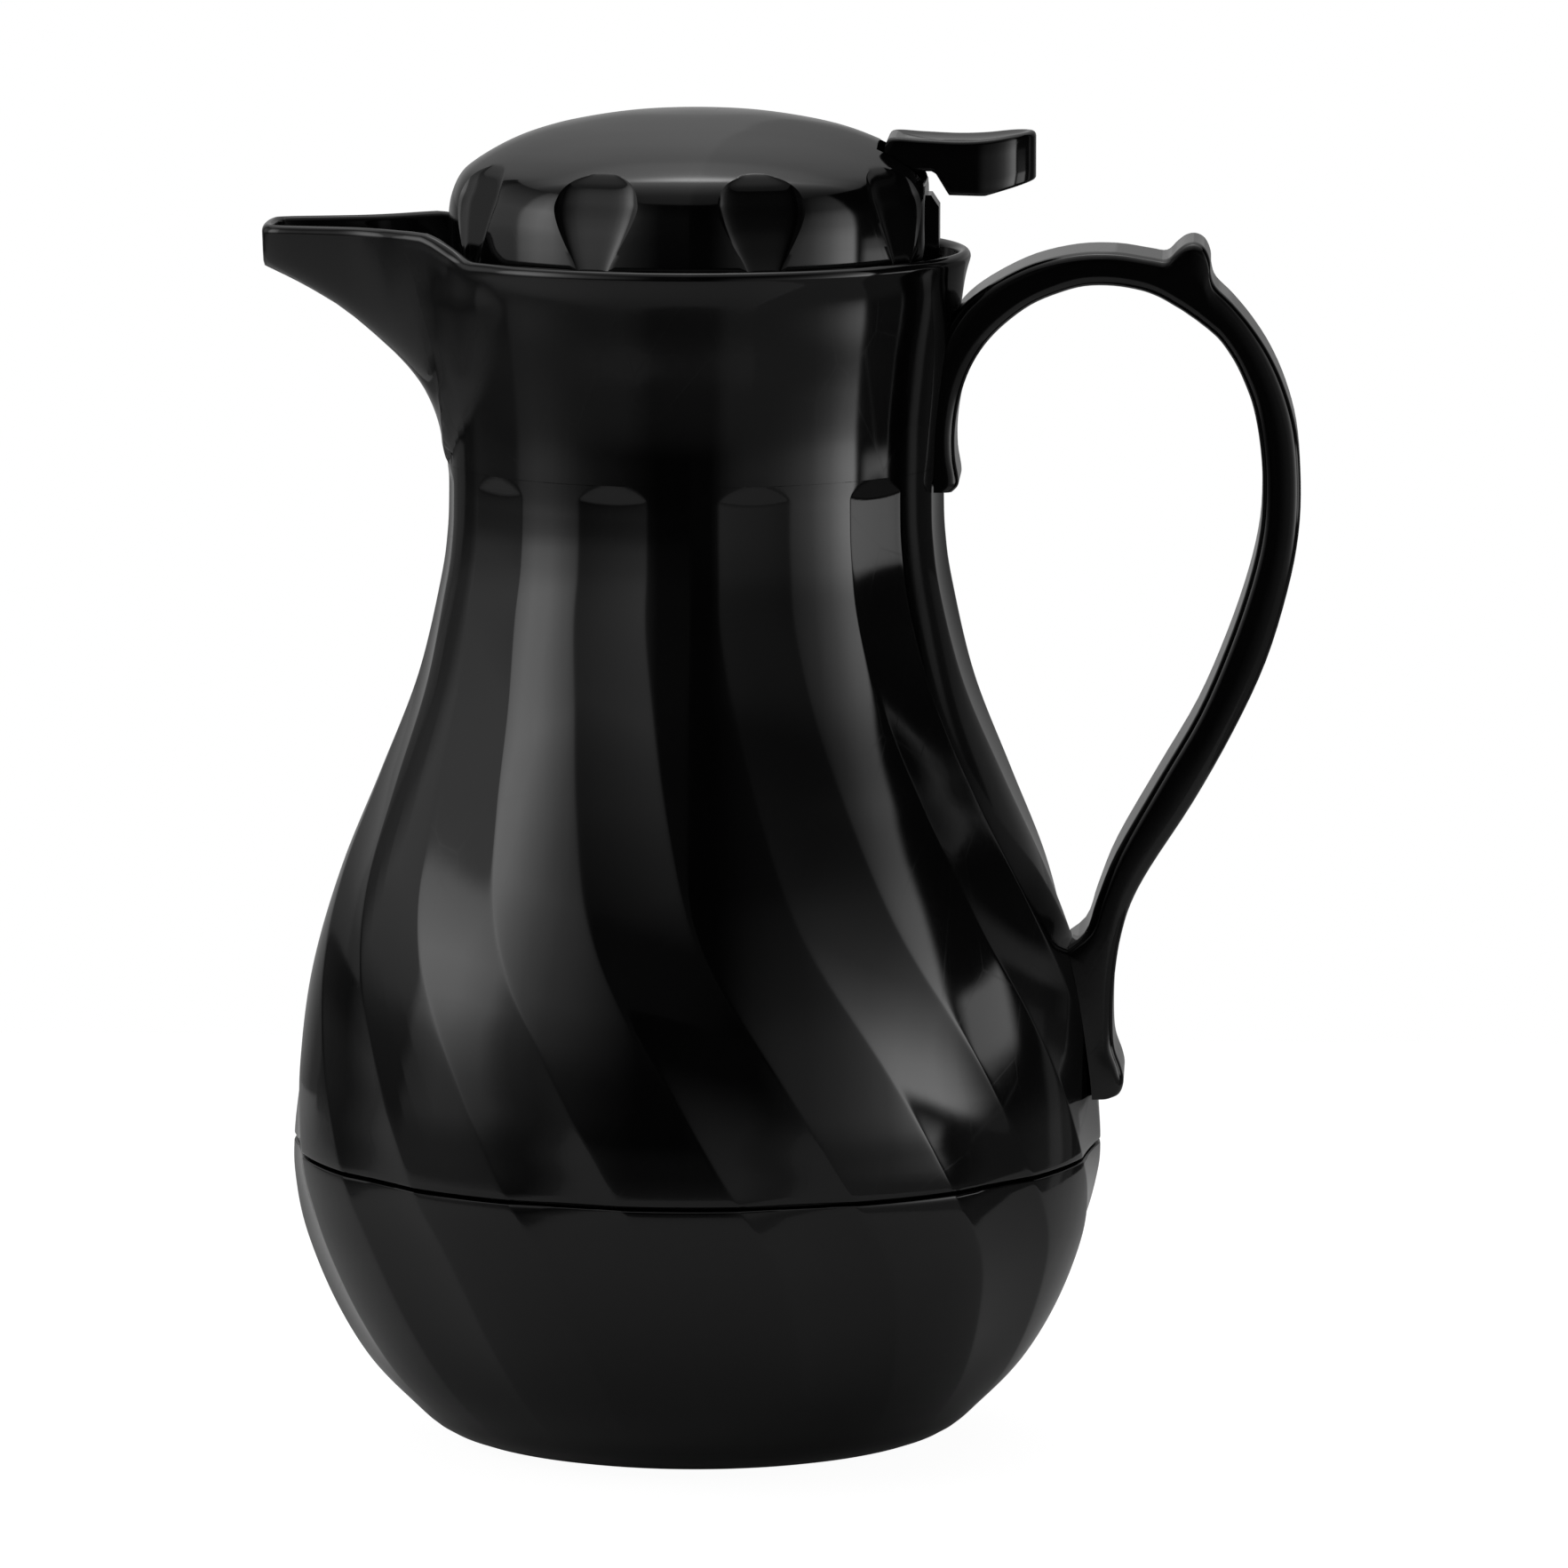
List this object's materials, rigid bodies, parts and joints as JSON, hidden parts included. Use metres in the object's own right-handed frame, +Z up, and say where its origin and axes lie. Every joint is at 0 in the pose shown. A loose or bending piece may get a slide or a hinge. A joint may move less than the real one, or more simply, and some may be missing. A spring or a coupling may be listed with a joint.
{
  "type": "thermal coffee server",
  "caption": "Swirl-fluted vacuum coffee server with an open spout, a strap handle and a screw-in lid whose rear lever opens the pouring valve.",
  "frame": {"origin": "centre of the flat underside of the base, on the surface that the server stands on", "axes": "+Z up along the jug's axis, +X towards the handle, the spout points along -X, +Y completes the right-handed frame"},
  "size_m": [0.2149, 0.1681, 0.2774],
  "materials": {
    "body_plastic": "glossy black moulded plastic with faint mould texture and fine handling scratches",
    "stopper_plastic": "satin black moulded polypropylene",
    "liner_steel": "drawn and polished stainless steel with fine circumferential lines",
    "fastener_steel": "bright stainless steel wire and screws",
    "seal_rubber": "grey food-grade silicone",
    "foam": "white expanded polystyrene bead foam"
  },
  "bodies": {
    "jug": {"outer_shell": "body_plastic", "base_cup": "body_plastic", "base_cap": "body_plastic", "base_screw_1": "fastener_steel", "base_screw_2": "fastener_steel", "base_screw_3": "fastener_steel", "liner_outer_wall": "liner_steel", "liner_inner_wall": "liner_steel", "liner_cushion": "seal_rubber", "liner_gasket": "seal_rubber", "neck_insert": "stopper_plastic", "handle": "body_plastic", "handle_screw": "fastener_steel"},
    "seal_ring": {"stopper_seal": "seal_rubber"},
    "lid": {"lid_cover": "body_plastic", "stopper_body": "stopper_plastic", "lid_screw_1": "fastener_steel", "lid_screw_2": "fastener_steel", "lid_screw_3": "fastener_steel", "stem_guide": "stopper_plastic", "insulation_plug": "foam", "lever_pin": "fastener_steel", "valve_spring": "fastener_steel"},
    "lever": {"pour_lever": "body_plastic"},
    "valve": {"valve_stem": "stopper_plastic", "stem_cap": "fastener_steel", "valve_washer": "seal_rubber"}
  },
  "joints": [
    {"name": "lid_rise", "type": "slide", "parent": "jug", "child": "seal_ring", "axis": [0, 0, 1], "range_m": [0, 0.0601]},
    {"name": "lid_turn", "type": "hinge", "parent": "seal_ring", "child": "lid", "pos_m": [0, 0, 0.2], "axis": [0, 0, 1], "range_deg": [0, 720]},
    {"name": "lever_press", "type": "hinge", "parent": "lid", "child": "lever", "pos_m": [0.034, 0, 0.2635], "axis": [0, 1, 0], "range_deg": [0, 9]},
    {"name": "valve_lift", "type": "slide", "parent": "lid", "child": "valve", "axis": [0, 0, 1], "range_m": [0, 0.0061], "stiffness_N_per_m": 263, "springref_m": -0.0117, "deforming": ["valve_spring"]}
  ],
  "couplings": [
    {"joint": "lid_rise", "follows": "lid_turn", "m_per_rad": 0.0047746},
    {"joint": "lever_press", "follows": "valve_lift", "rad_per_m": 25.641}
  ]
}
